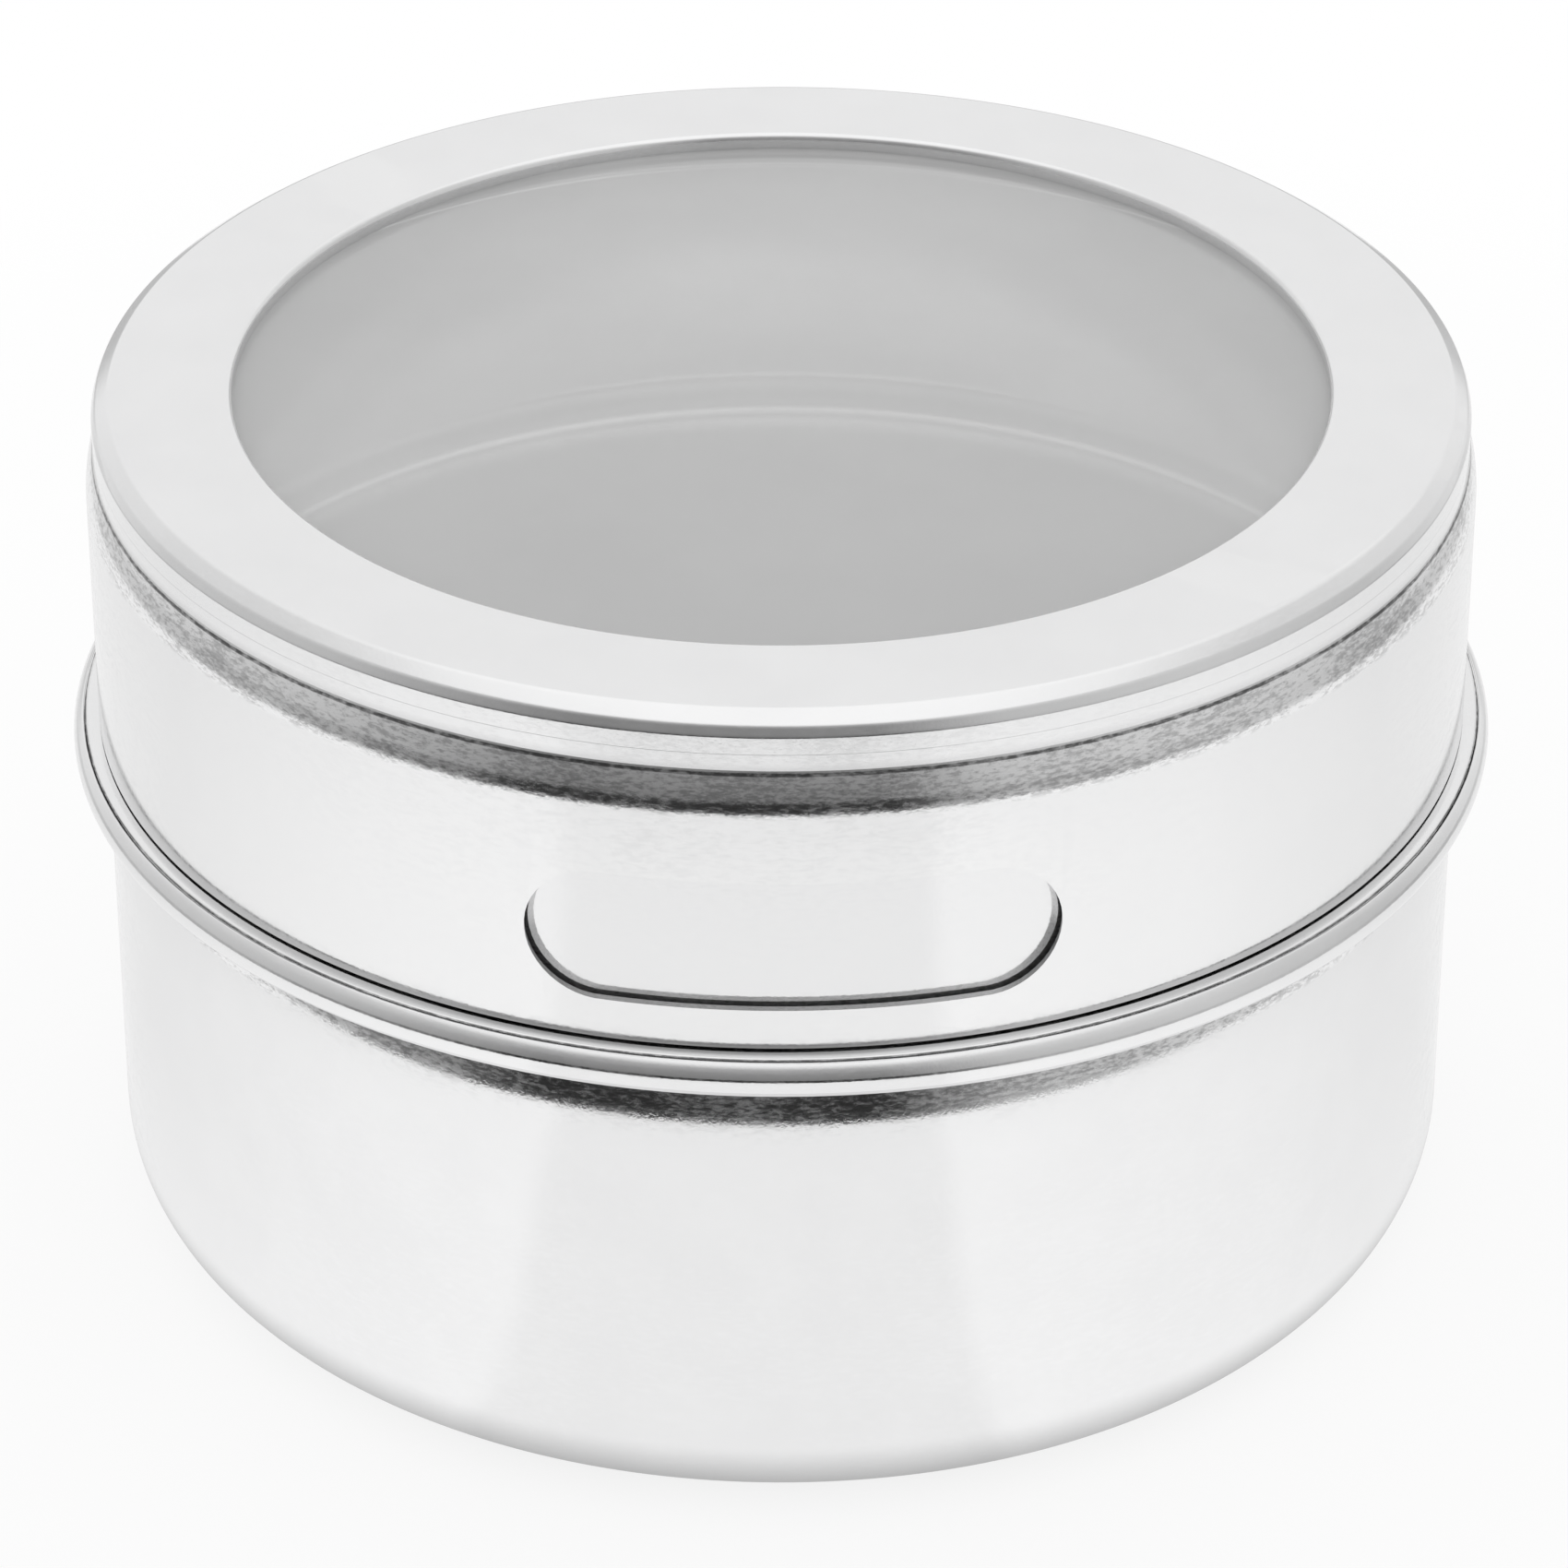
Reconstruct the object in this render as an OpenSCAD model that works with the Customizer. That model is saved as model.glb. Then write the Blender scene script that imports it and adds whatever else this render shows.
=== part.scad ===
// Magnetic spice tin: a drawn steel can, a windowed lid that turns on its neck to pour or to sift,
// and a disc magnet in the base. Millimetres, +Z up, origin at the centre of the foot.

/* [Sheet] */
// Thickness of the steel sheet
sheet = 0.35; // [0.2:0.05:0.4]
// Height of the folded hem at the can's mouth
hem_h = 1.6; // [1:0.1:2.4]

/* [Can] */
// Outside diameter of the can's wall
can_d = 62; // [50:0.5:80]
// Outside radius of the rounded base corner
base_corner_r = 5; // [2:0.25:8]
// Height of the bead's centre above the foot
bead_z = 24.3; // [18:0.1:40]
// Half the height of the rolled bead
bead_r = 1.0; // [0.8:0.05:1.3]
// How far the bead stands out of the wall
bead_stand = 1.5; // [1.2:0.05:2.2]
// Radius of the hollow where the bead leaves the sheet
bead_root_r = 0.2; // [0.2:0.05:0.5]
// How far the sheet draws in under the bead
waist_step = 0.72; // [0.5:0.02:0.9]
// Slope of the sheet from the waist out to the wall, from upright
waist_angle = 16; // [12:1:20]
// How much smaller the neck is than the wall, on the radius
neck_step = 0.25; // [0.05:0.05:0.6]

/* [Lid] */
// Height of the lid
lid_h = 15.85; // [14.6:0.05:22]
// Clearance between the lid and the neck, on the radius
lid_fit = 0.2; // [0.1:0.05:0.3]
// Gap between the lid's foot and the bead
lid_seat_gap = 0.1; // [0.05:0.05:0.3]
// Diameter of the window hole
window_d = 49.2; // [36:0.2:54]
// Depth of the lip turned down round the window hole
lip_h = 0.75; // [0.6:0.05:1.2]
// Width of the shoulder that slopes down from the flat top, on the radius
shoulder_w = 0.62; // [0.5:0.02:0.9]
// How far the shoulder drops
shoulder_drop = 0.43; // [0.3:0.01:0.5]
// Outside radius of the bend from the flat top to the shoulder
shoulder_bend_r = 0.6; // [0.4:0.05:1]
// Height of the crown that leans in from the collar to the shoulder
crown_h = 0.5; // [0.4:0.02:0.7]
// How far the crown leans in
crown_step = 0.12; // [0.06:0.02:0.2]
// Outside radius of the bend from the collar to the crown
crown_bend_r = 0.5; // [0.4:0.05:0.8]
// Height of the upright collar under the crown
collar_h = 1.62; // [1:0.02:2.2]
// How far the sheet swells out from the collar to the skirt
skirt_step = 0.4; // [0.2:0.01:0.45]
// Slope of the swell from the collar to the skirt, from upright
swell_angle = 20; // [12:1:24]

/* [Slot and sift holes] */
// Length of the lid's slot, end to end
slot_l = 22.6; // [14:0.2:26]
// Height of the lid's slot
slot_h = 6.25; // [4:0.05:7]
// Height of the slot's centre above the lid's foot
slot_z = 5.0; // [4.5:0.05:6]
// How much smaller the pour slot is than the lid's slot, all round
pour_margin = 0.6; // [0.2:0.1:1]
// Turn of the lid from closed to pouring
pour_turn = 90; // [60:5:120]
// Turn of the lid from closed to sifting
sift_turn = -90; // [-120:5:-60]
// Diameter of a sift hole
sift_d = 2.2; // [1.5:0.1:2.4]
// Distance between neighbouring sift holes in a row
sift_pitch = 3.6; // [3:0.1:4.2]
// Distance between the two rows of sift holes
sift_row_gap = 2.8; // [2.6:0.1:3.2]
// Number of sift holes in the longer row
sift_count = 5; // [3:1:5]

/* [Window] */
// Thickness of the window pane
pane_t = 1.0; // [0.6:0.1:1.4]
// Clearance between the pane's edge and the lid, on the radius
pane_fit = 0.1; // [0.05:0.05:0.3]
// Width of the flange under the pane
ring_flange_w = 1.8; // [1.2:0.1:3]
// Height of the retaining ring's upright leg
ring_leg_h = 1.5; // [1:0.1:2]
// Clearance between the retaining ring and the collar, on the radius
ring_fit = 0.05; // [0.03:0.01:0.1]
// Gap between the retaining ring and the pane
ring_gap = 0.1; // [0.05:0.05:0.2]
// Gap between the retaining ring and the can's mouth
mouth_gap = 0.4; // [0.2:0.1:1]

/* [Magnet] */
// Diameter of the magnet
magnet_d = 30; // [20:0.5:36]
// Thickness of the magnet
magnet_t = 3; // [2:0.25:5]
// Width of the small bevel round the magnet's edges
magnet_bevel = 0.4; // [0.2:0.1:0.8]
// Clearance between the magnet and its pocket, on the radius
magnet_fit = 0.3; // [0.2:0.05:0.6]
// How far the magnet lies above the foot
magnet_inset = 0.2; // [0.1:0.05:0.5]
// Thickness of the adhesive pad
adhesive_t = 0.4; // [0.2:0.1:0.8]
// Outside radius of the bends round the magnet's pocket
pocket_bend_r = 0.8; // [0.5:0.1:1.5]

/* [Hidden] */
$fn = 128;
half = sheet / 2;
through = 4 * sheet;
// Length below which two points count as one
tiny = 0.001;
// Most that the sheet turns along one chord of a bend beside a slope
chord_turn = 5;

// Radii of the sheet's outer face
can_r = can_d / 2;
neck_r = can_r - neck_step;
bead_outer_r = can_r + bead_stand;
waist_r = can_r - waist_step;
skirt_r = neck_r + lid_fit + sheet;
collar_r = skirt_r - skirt_step;
crown_r = collar_r - crown_step;

// Heights of the lid, from its foot up to the top face
lid_foot_z = bead_z + bead_r + lid_seat_gap;
lid_top_z = lid_foot_z + lid_h;
crown_top_z = lid_top_z - shoulder_drop;
crown_foot_z = crown_top_z - crown_h;
collar_foot_z = crown_foot_z - collar_h;
skirt_top_z = collar_foot_z - skirt_step / tan(swell_angle);
slot_centre_z = lid_foot_z + slot_z;

// Heights of the window stack under the top face, and the mouth below it
pane_top_z = lid_top_z - lip_h;
pane_foot_z = pane_top_z - pane_t;
ring_top_z = pane_foot_z - ring_gap;
ring_foot_z = ring_top_z - sheet - ring_leg_h;
mouth_z = ring_foot_z - mouth_gap;
ring_r = collar_r - sheet - ring_fit;

// The pane's edge clears the crown, and the underside of the shoulder where that comes down to the pane
shoulder_r = crown_r - shoulder_w;
shoulder_slope = shoulder_drop / shoulder_w;
shoulder_under = half * norm([1, shoulder_slope]);
shoulder_reach = shoulder_r - half + (lip_h - half - shoulder_under) / shoulder_slope;
pane_r = min(crown_r - sheet, shoulder_reach) - pane_fit;

// The magnet's pocket, measured to the sheet's lower face
pocket_r = magnet_d / 2 + magnet_fit;
pocket_z = magnet_inset + magnet_t + adhesive_t;

// Where the slope under the bead would meet the wall
waist_top_z = bead_z - bead_r + half;
wall_top_z = waist_top_z - waist_step / tan(waist_angle);

// Bend radii of the middle of the sheet: a sharp fold, and the long bends that ease out a slope
sharp = half;
root_bend = bead_root_r + half;
slope_share = 0.9;
swell_bend = easing(skirt_step, swell_angle, sharp * tan(swell_angle / 2));
waist_bend = easing(waist_step, waist_angle, root_bend * tan((90 + waist_angle) / 2));

// A path is a list of corners [radius, height, bend radius] along the middle of the sheet. Its legs run
// upright, level or at a slope, and it starts and ends with a leg that doesn't slope.
function corner(path, i) = [path[i][0], path[i][1]];
function heading(path, i) = let (run = corner(path, i + 1) - corner(path, i)) run / norm(run);
function left(u) = [-u[1], u[0]];
function swung(u, angle) = cos(angle) * u + sin(angle) * left(u);
function turn(path, i) = let (u = heading(path, i - 1), w = heading(path, i)) atan2(left(u) * w, u * w);
function bent(path, i) = i > 0 && i < len(path) - 1;
function setback(path, i) = bent(path, i) ? path[i][2] * tan(abs(turn(path, i)) / 2) : 0;
function sloping(path, i) = let (u = heading(path, i)) min(abs(u[0]), abs(u[1])) > tiny;
function bend_centre(path, i) =
    let (u = heading(path, i - 1))
    corner(path, i) - u * setback(path, i) + sign(turn(path, i)) * path[i][2] * left(u);
function reversed(list) = [for (i = [len(list) - 1:-1:0]) list[i]];

// Bend radius that takes up most of a slope, beside the bend at its other end
function easing(step, angle, other_setback) =
    slope_share * (step / sin(angle) - other_setback) / tan(angle / 2);

// Chords of a bend, on the face of the sheet that lies at an offset to the left of the path
function bend_points(path, i, offset) =
    let (
        angle = turn(path, i),
        reach = sign(angle) * path[i][2] - offset,
        chords = abs(reach) < tiny ? 0 : ceil(abs(angle) / chord_turn)
    )
    [for (k = [0:chords])
        bend_centre(path, i) - reach * left(swung(heading(path, i - 1), angle * k / max(chords, 1)))];

// Upright or level run of sheet between the bends at its ends
module straight(path, i) {
    u = heading(path, i);
    across = half * left(u);
    p = corner(path, i) + u * setback(path, i);
    q = corner(path, i + 1) - u * setback(path, i + 1);
    if ((q - p) * u > tiny) polygon([p + across, p - across, q - across, q + across]);
}

// Points at the end of a sloping run: the bend there, or only its start if the next run slopes and draws it
function run_end(path, i, offset) =
    let (points = bend_points(path, i, offset))
    sloping(path, i) ? [points[0]] : points;

// Sloping run of sheet together with the bends at its ends
module slope(path, i) {
    faces = [for (offset = [-half, half]) concat(bend_points(path, i, offset), run_end(path, i + 1, offset))];
    polygon(concat(faces[0], reversed(faces[1])));
}

// Square bend of the sheet: the quarter of a ring that faces the corner
module square_bend(path, i) {
    r = path[i][2];
    out = corner(path, i) - bend_centre(path, i);
    reach = r + sheet;
    translate(bend_centre(path, i)) intersection() {
        difference() {
            circle(r + half);
            if (r > half + tiny) circle(r - half);
        }
        translate([min(0, sign(out[0])) * reach, min(0, sign(out[1])) * reach]) square(reach);
    }
}

// Round piece of bent sheet that follows a path
module drawn_sheet(path) {
    last = len(path) - 2;
    rotate_extrude() {
        for (i = [0:last]) if (sloping(path, i)) slope(path, i); else straight(path, i);
        for (i = [1:last]) if (!sloping(path, i - 1) && !sloping(path, i)) square_bend(path, i);
    }
}

// Cutter for a slot with round ends in the wall that faces -Y, at the given reach from the axis
module slot_cutter(length, height, r) {
    translate([0, 0, slot_centre_z]) rotate([90, 0, 0]) linear_extrude(r + through) {
        square([length - height, height], center = true);
        for (side = [-1, 1]) translate([side * (length - height) / 2, 0]) circle(d = height);
    }
}

// Cutter for two staggered rows of round holes in the neck's wall that faces -Y
module sift_cutter() {
    step = sift_pitch / neck_r * 180 / PI;
    for (row = [0, 1], i = [0:sift_count - 1 - row])
        rotate([0, 0, (i - (sift_count - 1 - row) / 2) * step])
            translate([0, -neck_r, slot_centre_z + (0.5 - row) * sift_row_gap])
                rotate([90, 0, 0]) cylinder(d = sift_d, h = 2 * through, center = true);
}

can_path = [
    [0, pocket_z + half, 0],
    [pocket_r + half, pocket_z + half, pocket_bend_r - half],
    [pocket_r + half, half, pocket_bend_r - half],
    [can_r - half, half, base_corner_r - half],
    [can_r - half, wall_top_z, waist_bend],
    [waist_r - half, waist_top_z, root_bend],
    [bead_outer_r - half, waist_top_z, bead_r - half],
    [bead_outer_r - half, bead_z + bead_r - half, bead_r - half],
    [neck_r - half, bead_z + bead_r - half, root_bend],
    [neck_r - half, mouth_z - half, sharp],
    [neck_r - half - sheet, mouth_z - half, sharp],
    [neck_r - half - sheet, mouth_z - hem_h, 0],
];

lid_path = [
    [window_d / 2 + half, pane_top_z, 0],
    [window_d / 2 + half, lid_top_z - half, sharp],
    [shoulder_r - half, lid_top_z - half, shoulder_bend_r - half],
    [crown_r - half, crown_top_z - half, sharp],
    [collar_r - half, crown_foot_z, crown_bend_r - half],
    [collar_r - half, collar_foot_z, sharp],
    [skirt_r - half, skirt_top_z, swell_bend],
    [skirt_r - half, lid_foot_z, 0],
];

ring_path = [
    [ring_r - ring_flange_w, ring_top_z - half, 0],
    [ring_r - half, ring_top_z - half, sheet],
    [ring_r - half, ring_foot_z, 0],
];

module can_body() color("silver") difference() {
    drawn_sheet(can_path);
    rotate([0, 0, pour_turn])
        slot_cutter(slot_l - 2 * pour_margin, slot_h - 2 * pour_margin, neck_r);
    rotate([0, 0, sift_turn]) sift_cutter();
}

module lid_shell() color("gainsboro") difference() {
    drawn_sheet(lid_path);
    slot_cutter(slot_l, slot_h, skirt_r);
}

module window_pane() color("lightgray", 0.5)
    translate([0, 0, pane_foot_z]) cylinder(r = pane_r, h = pane_t);

module retaining_ring() color("lightslategray") drawn_sheet(ring_path);

module magnet() color("dimgray") translate([0, 0, magnet_inset]) rotate_extrude() polygon([
    [0, 0],
    [magnet_d / 2 - magnet_bevel, 0],
    [magnet_d / 2, magnet_bevel],
    [magnet_d / 2, magnet_t - magnet_bevel],
    [magnet_d / 2 - magnet_bevel, magnet_t],
    [0, magnet_t],
]);

module magnet_adhesive() color("white")
    translate([0, 0, magnet_inset + magnet_t]) cylinder(d = magnet_d - 2 * magnet_bevel, h = adhesive_t);

can_body();
lid_shell();
window_pane();
retaining_ring();
magnet();
magnet_adhesive();
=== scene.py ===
"""Magnetic spice tin: a drawn steel can with a magnet in its base and a windowed lid, on a white table."""
import math

import bmesh
import bpy
from mathutils import Matrix, Vector


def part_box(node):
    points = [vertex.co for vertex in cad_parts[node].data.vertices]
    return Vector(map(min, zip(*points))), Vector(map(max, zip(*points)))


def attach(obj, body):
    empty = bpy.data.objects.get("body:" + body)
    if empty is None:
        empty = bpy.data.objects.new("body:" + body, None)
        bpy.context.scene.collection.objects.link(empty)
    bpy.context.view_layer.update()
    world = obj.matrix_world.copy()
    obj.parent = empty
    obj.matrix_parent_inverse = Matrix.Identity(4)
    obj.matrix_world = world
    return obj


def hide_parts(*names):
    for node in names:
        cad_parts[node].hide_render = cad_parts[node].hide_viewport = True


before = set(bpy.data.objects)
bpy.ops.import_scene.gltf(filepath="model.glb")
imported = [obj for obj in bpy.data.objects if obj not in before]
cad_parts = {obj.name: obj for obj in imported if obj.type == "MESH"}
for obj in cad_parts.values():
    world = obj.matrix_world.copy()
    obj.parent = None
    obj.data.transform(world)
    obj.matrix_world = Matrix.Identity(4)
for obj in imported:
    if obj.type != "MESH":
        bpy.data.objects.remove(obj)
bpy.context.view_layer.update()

# Heights and largest radii, from the frame, in metres
BEAD_OUTER_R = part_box("can_body")[1].x
MOUTH_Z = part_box("can_body")[1].z
SKIRT_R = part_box("lid_shell")[1].x
LID_FOOT_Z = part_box("lid_shell")[0].z
LID_TOP_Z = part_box("lid_shell")[1].z
PANE_TOP_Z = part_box("window_pane")[1].z

# Sizes of the drawn sheet, in metres and radians, on its outer face
SHEET = 0.00035
HALF = SHEET / 2
HEM_H = 0.0016
CAN_R = 0.031
NECK_R = 0.03075
POCKET_R = 0.0153
POCKET_Z = 0.0036
POCKET_BEND_R = 0.0008
BASE_CORNER_R = 0.005
BEAD_R = 0.001
BEAD_ROOT_R = 0.0002
BEAD_SEAT_GAP = 0.0001
WAIST_STEP = 0.00072
WAIST_ANGLE = math.radians(16)
WINDOW_R = 0.0246
SHOULDER_W = 0.00062
SHOULDER_DROP = 0.00043
SHOULDER_BEND_R = 0.0006
CROWN_H = 0.0005
CROWN_STEP = 0.00012
CROWN_BEND_R = 0.0005
COLLAR_H = 0.00162
SKIRT_STEP = 0.0004
SWELL_ANGLE = math.radians(20)
SLOPE_SHARE = 0.9

# Fine lines that the drawing tools leave: the height above the collar's foot or the angle up the bead,
# and the width and depth
COLLAR_LINE_Z = 0.0008
COLLAR_LINE = (0.000024, 0.000006)
BEAD_LINE_ANGLE = math.radians(62)
BEAD_LINE = (0.00026, 0.00012)

# Slots and sift holes
SLOT_L = 0.0226
SLOT_H = 0.00625
SLOT_LIFT = 0.005
POUR_MARGIN = 0.0006
POUR_TURN = math.radians(90)
SIFT_TURN = math.radians(-90)
SIFT_D = 0.0022
SIFT_PITCH = 0.0036
SIFT_ROW_GAP = 0.0028
SIFT_COUNT = 5
SIFT_CUT = 4 * SHEET

# Heights that follow from these
BEAD_Z = LID_FOOT_Z - BEAD_SEAT_GAP - BEAD_R
BEAD_LINE_Z = BEAD_Z + BEAD_R * math.sin(BEAD_LINE_ANGLE)
WAIST_TOP_Z = BEAD_Z - BEAD_R
CROWN_TOP_Z = LID_TOP_Z - SHOULDER_DROP
CROWN_FOOT_Z = CROWN_TOP_Z - CROWN_H
COLLAR_FOOT_Z = CROWN_FOOT_Z - COLLAR_H
SLOT_Z = LID_FOOT_Z + SLOT_LIFT

# Fineness of the meshes, and the length under which points count as one
AROUND = 256
ARC_STEP = math.radians(4)
HEM_STEPS = 24
CREASE = math.radians(10)
CUT_SIDES = 48
FLOOR_SIDES = 128
TINY = 1e-7


# Sheet metal: a path is a list of corners (radius, height, bend radius) along the middle of the sheet

def left(u):
    """Direction a quarter turn to the left of u, in the plane of radius and height."""
    return Vector((-u.y, u.x))


def easing(step, angle, other_setback):
    """Bend radius that takes up most of a slope, beside the bend at its other end."""
    return SLOPE_SHARE * (step / math.sin(angle) - other_setback) / math.tan(angle / 2)


def face_points(path, offset):
    """Points of the sheet's face that lies at an offset to the left of the path."""
    corners = [Vector(corner[:2]) for corner in path]
    headings = [(b - a).normalized() for a, b in zip(corners, corners[1:])]
    points = [corners[0] + offset * left(headings[0])]
    for corner, bend, u, w in zip(corners[1:], [c[2] for c in path[1:]], headings, headings[1:]):
        angle = math.atan2(left(u).dot(w), u.dot(w))
        side = math.copysign(1, angle)
        centre = corner - u * bend * math.tan(abs(angle) / 2) + side * bend * left(u)
        reach = side * bend - offset
        steps = math.ceil(abs(angle) / ARC_STEP) if abs(reach) > TINY else 0
        for k in range(steps + 1):
            swung = Matrix.Rotation(angle * k / max(steps, 1), 2) @ u
            points.append(centre - reach * left(swung))
    points.append(corners[-1] + offset * left(headings[-1]))
    return points


def scored(points, k, place, along, inward, size):
    """Outline with a fine line of the given width and depth pressed into it, at a place before point k."""
    width, depth = size
    dent = [place - along * width / 2, place + inward * depth, place + along * width / 2]
    return points[:k] + dent + points[k:]


def hem_points(r, z):
    """Hem folded inwards at the top of an upright sheet: its round nose, the folded leg and that leg's end.

    r is the radius of the fold's middle and z the height of the nose's centre.
    """
    nose = [Vector((r + SHEET * math.cos(a), z + SHEET * math.sin(a)))
            for a in (math.pi * k / HEM_STEPS for k in range(HEM_STEPS + 1))]
    end_z = z - (HEM_H - SHEET)
    return nose + [Vector((r - SHEET, end_z)), Vector((r, end_z))]


def can_outline():
    """Outline of the can's section from the middle of its base up the outside, and back down the inside."""
    root_bend = BEAD_ROOT_R + HALF
    waist_top_z = WAIST_TOP_Z + HALF
    waist_bend = easing(WAIST_STEP, WAIST_ANGLE, root_bend * math.tan((math.pi / 2 + WAIST_ANGLE) / 2))
    nose_z = MOUTH_Z - SHEET
    path = [
        (0, POCKET_Z + HALF, 0),
        (POCKET_R + HALF, POCKET_Z + HALF, POCKET_BEND_R - HALF),
        (POCKET_R + HALF, HALF, POCKET_BEND_R - HALF),
        (CAN_R - HALF, HALF, BASE_CORNER_R - HALF),
        (CAN_R - HALF, waist_top_z - WAIST_STEP / math.tan(WAIST_ANGLE), waist_bend),
        (CAN_R - WAIST_STEP - HALF, waist_top_z, root_bend),
        (BEAD_OUTER_R - HALF, waist_top_z, BEAD_R - HALF),
        (BEAD_OUTER_R - HALF, BEAD_Z + BEAD_R - HALF, BEAD_R - HALF),
        (NECK_R - HALF, BEAD_Z + BEAD_R - HALF, root_bend),
        (NECK_R - HALF, nose_z, 0),
    ]
    outward = Vector((math.cos(BEAD_LINE_ANGLE), math.sin(BEAD_LINE_ANGLE)))
    line = Vector((BEAD_OUTER_R - BEAD_R, BEAD_Z)) + BEAD_R * outward
    outside = face_points(path, -HALF)[:-1]
    past = next(k for k, point in enumerate(outside) if point.y > BEAD_Z and point.x < line.x)
    outside = scored(outside, past, line, left(outward), -outward, BEAD_LINE)
    return outside + hem_points(NECK_R - SHEET, nose_z), face_points(path, HALF)[-2::-1]


def lid_outline():
    """Outline of the lid's section from the lip round its window down the outside, and back up the inside."""
    collar_r = SKIRT_R - SKIRT_STEP
    crown_r = collar_r - CROWN_STEP
    swell_bend = easing(SKIRT_STEP, SWELL_ANGLE, HALF * math.tan(SWELL_ANGLE / 2))
    path = [
        (WINDOW_R + HALF, PANE_TOP_Z, 0),
        (WINDOW_R + HALF, LID_TOP_Z - HALF, HALF),
        (crown_r - SHOULDER_W - HALF, LID_TOP_Z - HALF, SHOULDER_BEND_R - HALF),
        (crown_r - HALF, CROWN_TOP_Z - HALF, HALF),
        (collar_r - HALF, CROWN_FOOT_Z, CROWN_BEND_R - HALF),
        (collar_r - HALF, COLLAR_FOOT_Z, HALF),
        (SKIRT_R - HALF, COLLAR_FOOT_Z - SKIRT_STEP / math.tan(SWELL_ANGLE), swell_bend),
        (SKIRT_R - HALF, LID_FOOT_Z, 0),
    ]
    line = Vector((collar_r, COLLAR_FOOT_Z + COLLAR_LINE_Z))
    outside = face_points(path, HALF)
    past = next(k for k, point in enumerate(outside) if point.y < line.y)
    outside = scored(outside, past, line, Vector((0, -1)), Vector((-1, 0)), COLLAR_LINE)
    return outside, face_points(path, -HALF)[::-1]


def lathe(name, outside, inside):
    """Round piece whose section runs along its outside and back along its inside.

    The inside gets a second material. Points on the axis become single vertices.
    """
    bm = bmesh.new()
    turns = [2 * math.pi * k / AROUND for k in range(AROUND)]
    rings = []
    for r, z in outside + inside:
        if r < TINY:
            rings.append([bm.verts.new((0, 0, z))] * AROUND)
        else:
            rings.append([bm.verts.new((r * math.cos(a), r * math.sin(a), z)) for a in turns])
    for i, (ring, after) in enumerate(zip(rings, rings[1:] + rings[:1])):
        for k in range(AROUND):
            quad = (ring[k - 1], ring[k], after[k], after[k - 1])
            corners = list(dict.fromkeys(quad))
            if len(corners) > 2:
                bm.faces.new(corners).material_index = int(len(outside) <= i < len(rings) - 1)
    bmesh.ops.remove_doubles(bm, verts=bm.verts, dist=TINY)
    bmesh.ops.recalc_face_normals(bm, faces=bm.faces)
    return add_object(name, bm)


def add_object(name, bm):
    """Object in the scene made of a finished bmesh."""
    mesh = bpy.data.meshes.new(name)
    bm.to_mesh(mesh)
    bm.free()
    obj = bpy.data.objects.new(name, mesh)
    bpy.context.scene.collection.objects.link(obj)
    return obj


def prism(bm, section, near, far, turn):
    """Prism with a section in X and Z, from near to far along -Y, turned about the vertical axis."""
    spin = Matrix.Rotation(turn, 3, "Z")
    ends = [[bm.verts.new(spin @ Vector((x, -y, z))) for x, z in section] for y in (near, far)]
    bm.faces.new(ends[0])
    bm.faces.new(ends[1][::-1])
    for k in range(len(section)):
        bm.faces.new((ends[0][k - 1], ends[1][k - 1], ends[1][k], ends[0][k]))


def slot_section(length, height):
    """Outline of a slot with round ends, round the height of the lid's slot."""
    reach = (length - height) / 2
    angles = [2 * math.pi * (k + 0.5) / CUT_SIDES for k in range(CUT_SIDES)]
    return [(math.copysign(reach, math.cos(a)) + height / 2 * math.cos(a), SLOT_Z + height / 2 * math.sin(a))
            for a in angles]


def cut(obj, bm, edge):
    """Take the closed shapes in a bmesh out of an object. The cut faces get the sheared edge's material."""
    bmesh.ops.recalc_face_normals(bm, faces=bm.faces)
    cutter = add_object("cutter", bm)
    cutter.data.materials.append(edge)
    modifier = obj.modifiers.new("cut", "BOOLEAN")
    modifier.operation = "DIFFERENCE"
    modifier.solver = "EXACT"
    modifier.material_mode = "TRANSFER"
    modifier.object = cutter
    graph = bpy.context.evaluated_depsgraph_get()
    mesh = bpy.data.meshes.new_from_object(obj.evaluated_get(graph))
    obj.modifiers.clear()
    obj.data = mesh
    bpy.data.objects.remove(cutter)


def smooth(obj):
    """Smooth shading with creases kept, and flats that stay flat beside their bends."""
    obj.data.shade_smooth()
    obj.data.set_sharp_from_angle(angle=CREASE)
    weighted = obj.modifiers.new("flats", "WEIGHTED_NORMAL")
    weighted.keep_sharp = True


def drawn(name, outline, finishes, cutters, edge):
    """Drawn piece with a finish for its outside and one for its inside, and with its holes cut."""
    piece = lathe(name, *outline)
    for finish in finishes:
        piece.data.materials.append(finish)
    cut(piece, cutters, edge)
    smooth(piece)
    return piece


def make_can(face, inside, edge):
    """The can, with the pour slot and the sift holes in its neck."""
    bm = bmesh.new()
    margin = 2 * POUR_MARGIN
    prism(bm, slot_section(SLOT_L - margin, SLOT_H - margin), CAN_R / 2, CAN_R + SHEET, POUR_TURN)
    hole = slot_section(SIFT_D, SIFT_D)
    for row in (0, 1):
        count = SIFT_COUNT - row
        lift = (0.5 - row) * SIFT_ROW_GAP
        for i in range(count):
            turn = SIFT_TURN + (i - (count - 1) / 2) * SIFT_PITCH / NECK_R
            prism(bm, [(x, z + lift) for x, z in hole], NECK_R - SIFT_CUT, NECK_R + SIFT_CUT, turn)
    return drawn("drawn_can", can_outline(), (face, inside), bm, edge)


def make_lid(face, edge):
    """The lid, with the slot in its skirt."""
    bm = bmesh.new()
    prism(bm, slot_section(SLOT_L, SLOT_H), CAN_R / 2, SKIRT_R + SHEET, 0)
    return drawn("drawn_lid", lid_outline(), (face, face), bm, edge)


# Materials

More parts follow.
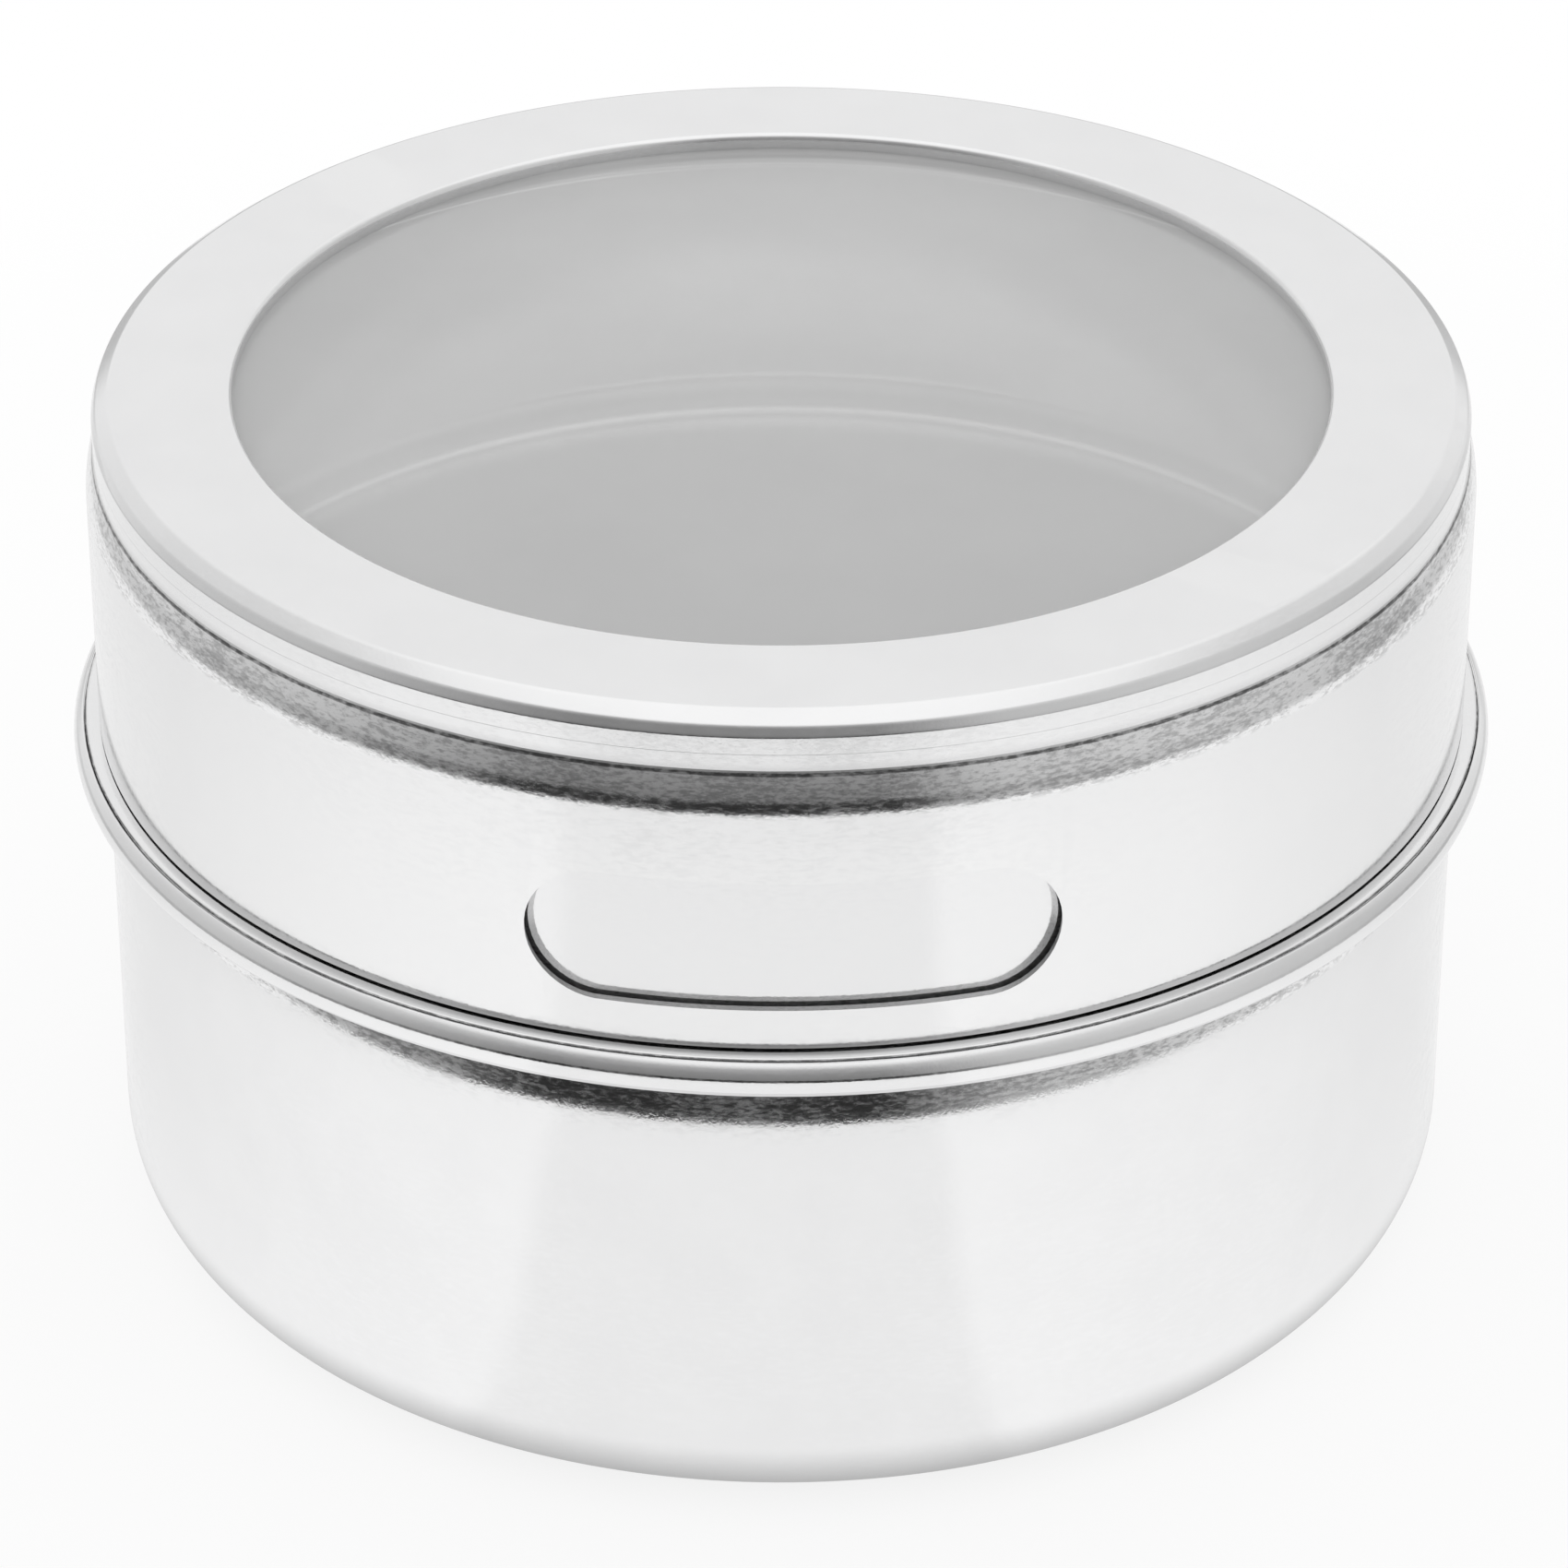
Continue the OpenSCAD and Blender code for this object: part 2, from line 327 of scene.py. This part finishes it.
def add_node(tree, kind, inputs=None, **settings):
    """New shader node with its settings. Its inputs are linked to sockets or set to values."""
    node = tree.nodes.new(kind)
    for key, value in settings.items():
        setattr(node, key, value)
    for key, value in (inputs or {}).items():
        if isinstance(value, bpy.types.NodeSocket):
            tree.links.new(value, node.inputs[key])
        else:
            node.inputs[key].default_value = value
    return node


def add_math(tree, operation, *values):
    """Result of a math node on sockets or numbers."""
    return add_node(tree, "ShaderNodeMath", dict(enumerate(values)), operation=operation).outputs[0]


def fade(tree, value, low, high, at_low=0.0, at_high=1.0):
    """Smooth change from one value to another while the input goes from low to high."""
    inputs = {"Value": value, "From Min": low, "From Max": high, "To Min": at_low, "To Max": at_high}
    return add_node(tree, "ShaderNodeMapRange", inputs, interpolation_type="SMOOTHSTEP").outputs["Result"]


def grey(level):
    """Opaque grey of a level."""
    return level, level, level, 1


def ramp(tree, value, stops):
    """Level that runs through the given stops. Each is a place from 0 to 1 and the level there."""
    node = add_node(tree, "ShaderNodeValToRGB", {0: value})
    elements = node.color_ramp.elements
    elements[0].position, elements[1].position = stops[0][0], stops[-1][0]
    for place, _ in stops[1:-1]:
        elements.new(place)
    for element, (_, level) in zip(elements, stops):
        element.color = grey(level)
    return node.outputs[0]


def by_azimuth(tree, vector, stops):
    """Level by the azimuth of a vector. Each stop is an angle in degrees to the right of the front."""
    x, y, _ = add_node(tree, "ShaderNodeSeparateXYZ", {0: vector}).outputs
    angle = add_math(tree, "ARCTAN2", x, add_math(tree, "MULTIPLY", y, -1))
    place = add_math(tree, "MULTIPLY_ADD", angle, 0.5 / math.pi, 0.5)
    return ramp(tree, place, [(degrees / 360 + 0.5, level) for degrees, level in stops])


def shiny_ray(tree):
    """1 for a ray that comes from a reflection or through the pane."""
    path = add_node(tree, "ShaderNodeLightPath").outputs
    return add_math(tree, "MAXIMUM", path["Is Glossy Ray"], path["Is Transmission Ray"])


def noise(tree, coords, scale, detail=2.0, rough=0.5):
    """Noise with the given scale, per metre."""
    inputs = {"Vector": coords, "Scale": scale, "Detail": detail, "Roughness": rough}
    return add_node(tree, "ShaderNodeTexNoise", inputs).outputs["Fac"]


def mix_colour(tree, factor, first, second):
    """Colour between two colours."""
    node = add_node(tree, "ShaderNodeMix", data_type="RGBA")
    tree.links.new(factor, node.inputs[0])
    node.inputs[6].default_value = (*first, 1)
    node.inputs[7].default_value = (*second, 1)
    return node.outputs[2]


def height(tree, coords):
    """Height of a place."""
    return add_node(tree, "ShaderNodeSeparateXYZ", {0: coords}).outputs[2]


def scaled(tree, colour, factor):
    """Colour times a factor."""
    return add_node(tree, "ShaderNodeVectorMath", {0: colour, "Scale": factor}, operation="SCALE").outputs[0]


def bumped(tree, heights, depth):
    """Normal of a surface with a fine relief."""
    return add_node(tree, "ShaderNodeBump", {"Height": heights, "Distance": depth}).outputs["Normal"]


def mixed(tree, share, first, second):
    """Shader with a share of the second in the first."""
    return add_node(tree, "ShaderNodeMixShader", {0: share, 1: first, 2: second}).outputs[0]


def show(tree, surface):
    """Make a shader the material's surface."""
    tree.links.new(surface, tree.nodes["Material Output"].inputs["Surface"])


def new_material(name):
    """New node material with its tree, its main shader and the object's own coordinates."""
    material = bpy.data.materials.new(name)
    material.use_nodes = True
    tree = material.node_tree
    coords = add_node(tree, "ShaderNodeTexCoord").outputs["Object"]
    return material, tree, tree.nodes["Principled BSDF"], coords


# Noises: scale per metre, detail and roughness
CLOUDS = (260, 3, 0.55)
GRAIN = (6500, 2, 0.6)
STREAKS = (6500, 3, 0.65)
INSIDE_STREAKS = (3250, 3, 0.6)
PANE_CLOUDS = (90, 3, 0.5)
PANE_RUBBING = (1400, 2, 0.6)

# Where most of a noise's values lie
SPREAD = (0.3, 0.7)

# Steel: shares of clouds and grain in its tone, pointiness at which an edge is worn, how much that pales it
# and how far the roughness strays
TONE = (0.7, 0.3)
EDGE = (0.51, 0.56)
EDGE_WEAR = 0.3
ROUGH_STRAY = (-0.02, 0.03)

# Scuffs: colour, roughness, how many times longer than wide they are, how far the clouds gather them, and the
# streak levels between which they set in, with their weights there
SCUFF = (0.85, 0.85, 0.855)
SCUFF_ROUGH = 0.27
SCUFF_STRETCH = 3
SCUFF_CLOUDS = 0.4
SCUFF_WEIGHT = (0.62, 0.92, 0.03, 0.5)

# Share of the steel's colour that is left in a line of painted shade, and just above it
LINE_SHADE = 0.2
SHADE_ABOVE_LINE = 0.8

# Mottling of the rubbed sheet: streak levels, and how much darker or paler the sheet is there
MOTTLE = (0.52, 0.84, -0.3, 0.2)


def round_coords(tree, coords):
    """Coordinates round the vertical axis, squeezed along the turn to draw a grain out into short streaks."""
    x, y, z = add_node(tree, "ShaderNodeSeparateXYZ", {0: coords}).outputs
    turn = add_math(tree, "ARCTAN2", x, add_math(tree, "MULTIPLY", y, -1))
    flat = add_node(tree, "ShaderNodeCombineXYZ", {0: x, 1: y}).outputs[0]
    away = add_node(tree, "ShaderNodeVectorMath", {0: flat}, operation="LENGTH").outputs["Value"]
    along = add_math(tree, "MULTIPLY", turn, CAN_R / SCUFF_STRETCH)
    return add_node(tree, "ShaderNodeCombineXYZ", {0: along, 1: away, 2: z}).outputs[0]


def steel(name, pale, dark, rough, grain_depth, shade_line=None, rubbed=None):
    """Bright rolled sheet with a fine grain, faint clouds, scuffs that scatter some light, and paler edges.

    A line of painted shade, if there is any, darkens the sheet at a height, with a little painted shade up to
    a height above that, in place of the shade in a crease. Between the two heights of rubbed, if there are
    any, the drawing has left the sheet mottled.
    """
    material, tree, shader, coords = new_material(name)
    clouds = noise(tree, coords, *CLOUDS)
    grain = noise(tree, coords, *GRAIN)
    edge = fade(tree, add_node(tree, "ShaderNodeNewGeometry").outputs["Pointiness"], *EDGE)
    tone = add_math(tree, "ADD", add_math(tree, "MULTIPLY", clouds, TONE[0]),
                    add_math(tree, "MULTIPLY", grain, TONE[1]))
    worn = add_math(tree, "ADD", tone, add_math(tree, "MULTIPLY", edge, EDGE_WEAR))
    streaks = add_math(tree, "MULTIPLY_ADD", clouds, SCUFF_CLOUDS,
                       noise(tree, round_coords(tree, coords), *STREAKS))
    colour = mix_colour(tree, worn, dark, pale)
    # Painted shade: a dark line at a height, and a fainter shade above it, stand in for the shade in a crease
    if shade_line:
        foot, top, half_width = shade_line
        rise = add_math(tree, "SUBTRACT", height(tree, coords), foot)
        line = fade(tree, add_math(tree, "ABSOLUTE", rise), half_width / 2, half_width, LINE_SHADE, 1)
        above = fade(tree, rise, 0, top - foot, SHADE_ABOVE_LINE, 1)
        shade_above = add_math(tree, "MAXIMUM", above, add_math(tree, "LESS_THAN", rise, 0))
        colour = scaled(tree, colour, add_math(tree, "MULTIPLY", line, shade_above))
    if rubbed:
        low, high = rubbed
        z = height(tree, coords)
        within = add_math(tree, "MULTIPLY", fade(tree, z, low, low + SHEET),
                          fade(tree, z, high, high - SHEET / 4))
        mottle = add_math(tree, "MULTIPLY_ADD", within, fade(tree, streaks, *MOTTLE), 1)
        colour = scaled(tree, colour, mottle)
    roughness = fade(tree, tone, *SPREAD, *(rough + stray for stray in ROUGH_STRAY))
    shader.inputs["Metallic"].default_value = 1
    tree.links.new(colour, shader.inputs["Base Color"])
    tree.links.new(roughness, shader.inputs["Roughness"])
    tree.links.new(bumped(tree, grain, grain_depth), shader.inputs["Normal"])
    scuffed = add_node(tree, "ShaderNodeBsdfAnisotropic", {"Color": (*SCUFF, 1), "Roughness": SCUFF_ROUGH})
    show(tree, mixed(tree, fade(tree, streaks, *SCUFF_WEIGHT), shader.outputs[0], scuffed.outputs[0]))
    return material


# Pane: levels of its clear body and of its haze, the haze's weights, and the rubbing's depth, the roughness
# and the refractive index
PANE_CLEAR = 0.98
PANE_HAZE = 0.92
PANE_HAZE_WEIGHT = (0.43, 0.45)
PANE_RUBBING_DEPTH = 1e-6
PANE_ROUGH = 0.12
PANE_IOR = 1.6


def hazy_plastic(name):
    """Clear thin disc with a slight haze and fine rubbing, which lie on the face that light comes to."""
    material, tree, shader, coords = new_material(name)
    tree.nodes.remove(shader)
    facing = add_math(tree, "SUBTRACT", 1, add_node(tree, "ShaderNodeNewGeometry").outputs["Backfacing"])
    clear = add_node(tree, "ShaderNodeBsdfTransparent", {"Color": grey(PANE_CLEAR)}).outputs[0]
    haze = add_node(tree, "ShaderNodeBsdfDiffuse", {"Color": grey(PANE_HAZE)}).outputs[0]
    clouds = fade(tree, noise(tree, coords, *PANE_CLOUDS), *SPREAD, *PANE_HAZE_WEIGHT)
    body = mixed(tree, add_math(tree, "MULTIPLY", facing, clouds), clear, haze)
    rubbed = bumped(tree, noise(tree, coords, *PANE_RUBBING), PANE_RUBBING_DEPTH)
    gloss = {"Color": grey(1), "Roughness": PANE_ROUGH, "Normal": rubbed}
    shine = add_node(tree, "ShaderNodeBsdfAnisotropic", gloss).outputs[0]
    fresnel = add_node(tree, "ShaderNodeFresnel", {"IOR": PANE_IOR}).outputs[0]
    show(tree, mixed(tree, add_math(tree, "MULTIPLY", facing, fresnel), body, shine))
    return material


# Inside of the can: heights between which its wall is darkened by painted shade, the levels there and
# elsewhere, how far the grain changes them, and the roughness
SHADED_WALL = (0.008, 0.023)
INSIDE_SHADE_LEVELS = (0.42, 0.99)
INSIDE_GRAIN = (0.97, 1.02)
INSIDE_ROUGH = 0.45


def satin_inside_with_painted_shade(name):
    """Satin inside of the can, with painted shade that darkens its wall between two heights under the bead.
    """
    material, tree, shader, coords = new_material(name)
    z = height(tree, coords)
    low, high = SHADED_WALL
    shaded, bright = INSIDE_SHADE_LEVELS
    over = fade(tree, z, high - BEAD_R, high, shaded, bright)
    under = fade(tree, z, low - BEAD_R, low, bright, shaded)
    grain = fade(tree, noise(tree, round_coords(tree, coords), *INSIDE_STREAKS), *SPREAD, *INSIDE_GRAIN)
    # Painted shade: the wall between the two heights gets the darker level, in place of the shade deep in the
    # can
    level = add_math(tree, "MULTIPLY", grain, add_math(tree, "MAXIMUM", over, under))
    shader.inputs["Metallic"].default_value = 1
    shader.inputs["Roughness"].default_value = INSIDE_ROUGH
    tree.links.new(level, shader.inputs["Base Color"])
    return material


# Dull materials: detail and roughness of their grain and patches, how many times larger than grains the
# patches are, how strongly they show, and how far the roughness strays
DULL_GRAIN = (4, 0.65)
DULL_PATCHES = (3, 0.5)
PATCH_SIZE = 8
PATCH_GAIN = 2
DULL_STRAY = 0.08


def grainy(name, pale, dark, rough, scale, depth):
    """Dull material with a grain of the given scale, per metre, and depth."""
    material, tree, shader, coords = new_material(name)
    grain = noise(tree, coords, scale, *DULL_GRAIN)
    patches = noise(tree, coords, scale / PATCH_SIZE, *DULL_PATCHES)
    tone = add_math(tree, "MULTIPLY", grain, add_math(tree, "MULTIPLY", patches, PATCH_GAIN))
    roughness = fade(tree, patches, *SPREAD, rough - DULL_STRAY, rough + DULL_STRAY)
    tree.links.new(mix_colour(tree, tone, dark, pale), shader.inputs["Base Color"])
    tree.links.new(roughness, shader.inputs["Roughness"])
    tree.links.new(bumped(tree, grain, depth), shader.inputs["Normal"])
    return material


# Table, light and camera

# Table top: radius, colour, share of it that is plain white, distances over which it ends for the eye and in
# reflections, and where and how much a painted shadow darkens it in reflections near the can's foot
FLOOR_R = 0.12
FLOOR_COLOUR = 0.97
FLOOR_WHITE = 0.8
FLOOR_FADE = (0.095, 0.118)
FLOOR_EDGE = (0.1055, 0.1065)
FLOOR_PAINTED_SHADOW = (0.026, 0.0345, 0.4, 1)

# Rim past the table's edge: radius, height and how many times as dark as the room it is
RIM_R = 0.1065
RIM_H = 0.016
RIM_DARKNESS = 1.02

# Brightness of the table in reflections, by azimuth in degrees: two paler panels beside the front
PANELS = [(-100, 0.93), (-60, 1.04), (-32, 1.08), (-29, 1), (18, 1), (21, 1.08), (55, 1.04), (95, 0.93)]

# Darkness of the room in reflections, by azimuth in degrees: dark behind the camera, more so to its left
ROOM = [(-150, 0.05), (-110, 0.4), (-75, 0.55), (-35, 0.95), (14, 0.95), (32, 0.54), (64, 0.4), (100, 0.5),
        (125, 0.25), (150, 0.05)]

# How the darkness falls off with height, by the sine of the elevation: deepest just past the table's edge
FALL_OFF = [(-0.3, 0.88), (-0.1, 0.82), (0.4, 0.74), (0.7, 0.58), (0.97, 0)]

# Bright ceiling, by the same sine, and the dark belt low at the back: its top, its foot and how far back
CEILING = (0.75, 0.9, 0, 0.12)
BELT_TOP = (0.15, 0)
BELT_FOOT = (-0.4, -0.3)
BELT_BACK = (0.75, 0.95, 0, 0.4)

# Camera: turn about the tin, place and tilt before that turn, focal length and sensor in millimetres, shift
CAMERA_TURN = math.radians(-1)
CAMERA_PLACE = (0, -0.26734, 0.17958)
CAMERA_TILT = math.radians(59.11)
CAMERA_LENS = 153.8
CAMERA_SENSOR = 36
CAMERA_SHIFT = 0.0018


def make_floor():
    """White round table top. In reflections it ends in a sharp edge and is dark only near the can's foot,
    where its shadow is painted.
    """
    bm = bmesh.new()
    bmesh.ops.create_circle(bm, cap_ends=True, segments=FLOOR_SIDES, radius=FLOOR_R)
    floor = add_object("table", bm)
    material, tree, shader, coords = new_material("white_table")
    shader.inputs["Base Color"].default_value = grey(FLOOR_COLOUR)
    shader.inputs["Roughness"].default_value = 1
    shader.inputs["Specular IOR Level"].default_value = 0
    away = add_node(tree, "ShaderNodeVectorMath", {0: coords}, operation="LENGTH").outputs["Value"]
    clear = add_node(tree, "ShaderNodeBsdfTransparent").outputs[0]
    white = add_node(tree, "ShaderNodeEmission").outputs[0]
    top = mixed(tree, FLOOR_WHITE, shader.outputs[0], white)
    seen = mixed(tree, fade(tree, away, *FLOOR_FADE), top, clear)
    # Painted shadow: in reflections the table darkens near the can's foot
    level = add_math(tree, "MULTIPLY", by_azimuth(tree, coords, PANELS), fade(tree, away, *FLOOR_PAINTED_SHADOW))
    panel = add_node(tree, "ShaderNodeEmission", {"Strength": level}).outputs[0]
    mirrored = mixed(tree, fade(tree, away, *FLOOR_EDGE), panel, clear)
    show(tree, mixed(tree, shiny_ray(tree), seen, mirrored))
    floor.data.materials.append(material)


def make_rim():
    """Dark low rim past the table's edge, for reflections only: what stands on the ground near the camera."""
    bm = bmesh.new()
    turns = [2 * math.pi * k / AROUND for k in range(AROUND)]
    ends = [[bm.verts.new((RIM_R * math.cos(a), RIM_R * math.sin(a), z)) for a in turns] for z in (0, RIM_H)]
    for k in range(AROUND):
        bm.faces.new((ends[0][k - 1], ends[0][k], ends[1][k], ends[1][k - 1]))
    rim = add_object("rim", bm)
    material, tree, shader, coords = new_material("dark_rim")
    dark = add_math(tree, "MULTIPLY", by_azimuth(tree, coords, ROOM), RIM_DARKNESS)
    level = add_math(tree, "SUBTRACT", 1, dark)
    ground = add_node(tree, "ShaderNodeEmission", {"Strength": level}).outputs[0]
    clear = add_node(tree, "ShaderNodeBsdfTransparent").outputs[0]
    tree.nodes.remove(shader)
    show(tree, mixed(tree, shiny_ray(tree), clear, ground))
    rim.data.materials.append(material)


def make_world():
    """White all round for the eye. What shines sees a dark room behind the camera and a bright ceiling."""
    world = bpy.data.worlds.new("studio")
    bpy.context.scene.world = world
    world.use_nodes = True
    tree = world.node_tree
    direction = add_node(tree, "ShaderNodeTexCoord").outputs["Generated"]
    _, y, z = add_node(tree, "ShaderNodeSeparateXYZ", {0: direction}).outputs
    place = add_math(tree, "MULTIPLY_ADD", z, 0.5, 0.5)
    wall = ramp(tree, place, [((sine + 1) / 2, level) for sine, level in FALL_OFF])
    belt = add_math(tree, "MULTIPLY", fade(tree, z, *BELT_TOP), fade(tree, z, *BELT_FOOT))
    back = add_math(tree, "MULTIPLY", belt, fade(tree, y, *BELT_BACK))
    dark = add_math(tree, "MULTIPLY_ADD", wall, by_azimuth(tree, direction, ROOM), back)
    room = add_math(tree, "SUBTRACT", fade(tree, z, *CEILING), dark)
    change = add_math(tree, "MULTIPLY", room, shiny_ray(tree))
    tree.links.new(add_math(tree, "ADD", change, 1), tree.nodes["Background"].inputs["Strength"])
    tree.nodes["Background"].inputs["Color"].default_value = grey(1)


def make_camera():
    """Camera at the photograph's place and angle, a little to the left of the slot."""
    lens = bpy.data.cameras.new("photo_camera")
    lens.lens = CAMERA_LENS
    lens.sensor_width = CAMERA_SENSOR
    lens.shift_x = CAMERA_SHIFT
    camera = bpy.data.objects.new("photo_camera", lens)
    camera.location = Matrix.Rotation(CAMERA_TURN, 3, "Z") @ Vector(CAMERA_PLACE)
    camera.rotation_euler = (CAMERA_TILT, 0, CAMERA_TURN)
    bpy.context.scene.collection.objects.link(camera)
    bpy.context.scene.camera = camera


# Colours, roughnesses and grain depths of the bright sheet
SHEET_PALE = (0.84, 0.84, 0.84)
SHEET_DARK = (0.78, 0.78, 0.785)
CAN_ROUGH = 0.08
LID_ROUGH = 0.1
GRAIN_DEPTH = 3e-6

# Painted shade in the bead's line and in the collar's crease, and the rubbed heights of the waist and the
# swell
BEAD_SHADE_LINE = 0.00005
CREASE_SHADE_LINE = 0.0001
CREASE_SHADE_DROP = 0.00013
CREASE_SHADE_RISE = 0.0005
WAIST_RUBBED = 0.0018
SWELL_RUBBED = 0.0022

edge = steel("sheared_edge", (0.8, 0.8, 0.8), (0.62, 0.62, 0.62), 0.45, 2e-5)
inside = satin_inside_with_painted_shade("inside_steel")

# Painted shade in the bead's scored line
can_shade_line = (BEAD_LINE_Z, BEAD_LINE_Z + BEAD_SHADE_LINE, BEAD_SHADE_LINE)
can_rubbed = (WAIST_TOP_Z - WAIST_RUBBED, WAIST_TOP_Z)
can_finish = steel("can_steel", SHEET_PALE, SHEET_DARK, CAN_ROUGH, GRAIN_DEPTH, can_shade_line, can_rubbed)
can = make_can(can_finish, inside, edge)
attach(can, "can")
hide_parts("can_body")

# Painted shade in the collar's crease, just under it and fading out above it
lid_shade_line = (COLLAR_FOOT_Z - CREASE_SHADE_DROP, COLLAR_FOOT_Z + CREASE_SHADE_RISE, CREASE_SHADE_LINE)
lid_rubbed = (COLLAR_FOOT_Z - SWELL_RUBBED, COLLAR_FOOT_Z)
lid_finish = steel("lid_steel", SHEET_PALE, SHEET_DARK, LID_ROUGH, GRAIN_DEPTH, lid_shade_line, lid_rubbed)
lid = make_lid(lid_finish, edge)
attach(lid, "lid")
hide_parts("lid_shell")

finishes = {
    "window_pane": hazy_plastic("clear_plastic"),
    "retaining_ring": steel("ring_steel", (0.74, 0.74, 0.74), (0.64, 0.64, 0.645), 0.3, 4e-6),
    "magnet": grainy("ferrite", (0.1, 0.1, 0.105), (0.035, 0.035, 0.037), 0.6, 1800, 2e-5),
    "magnet_adhesive": grainy("adhesive", (0.88, 0.88, 0.85), (0.74, 0.74, 0.7), 0.7, 900, 1e-5),
}
for node, finish in finishes.items():
    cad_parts[node].material_slots[0].material = finish

make_floor()
make_rim()
make_world()
make_camera()
bpy.context.scene.view_settings.view_transform = "Standard"
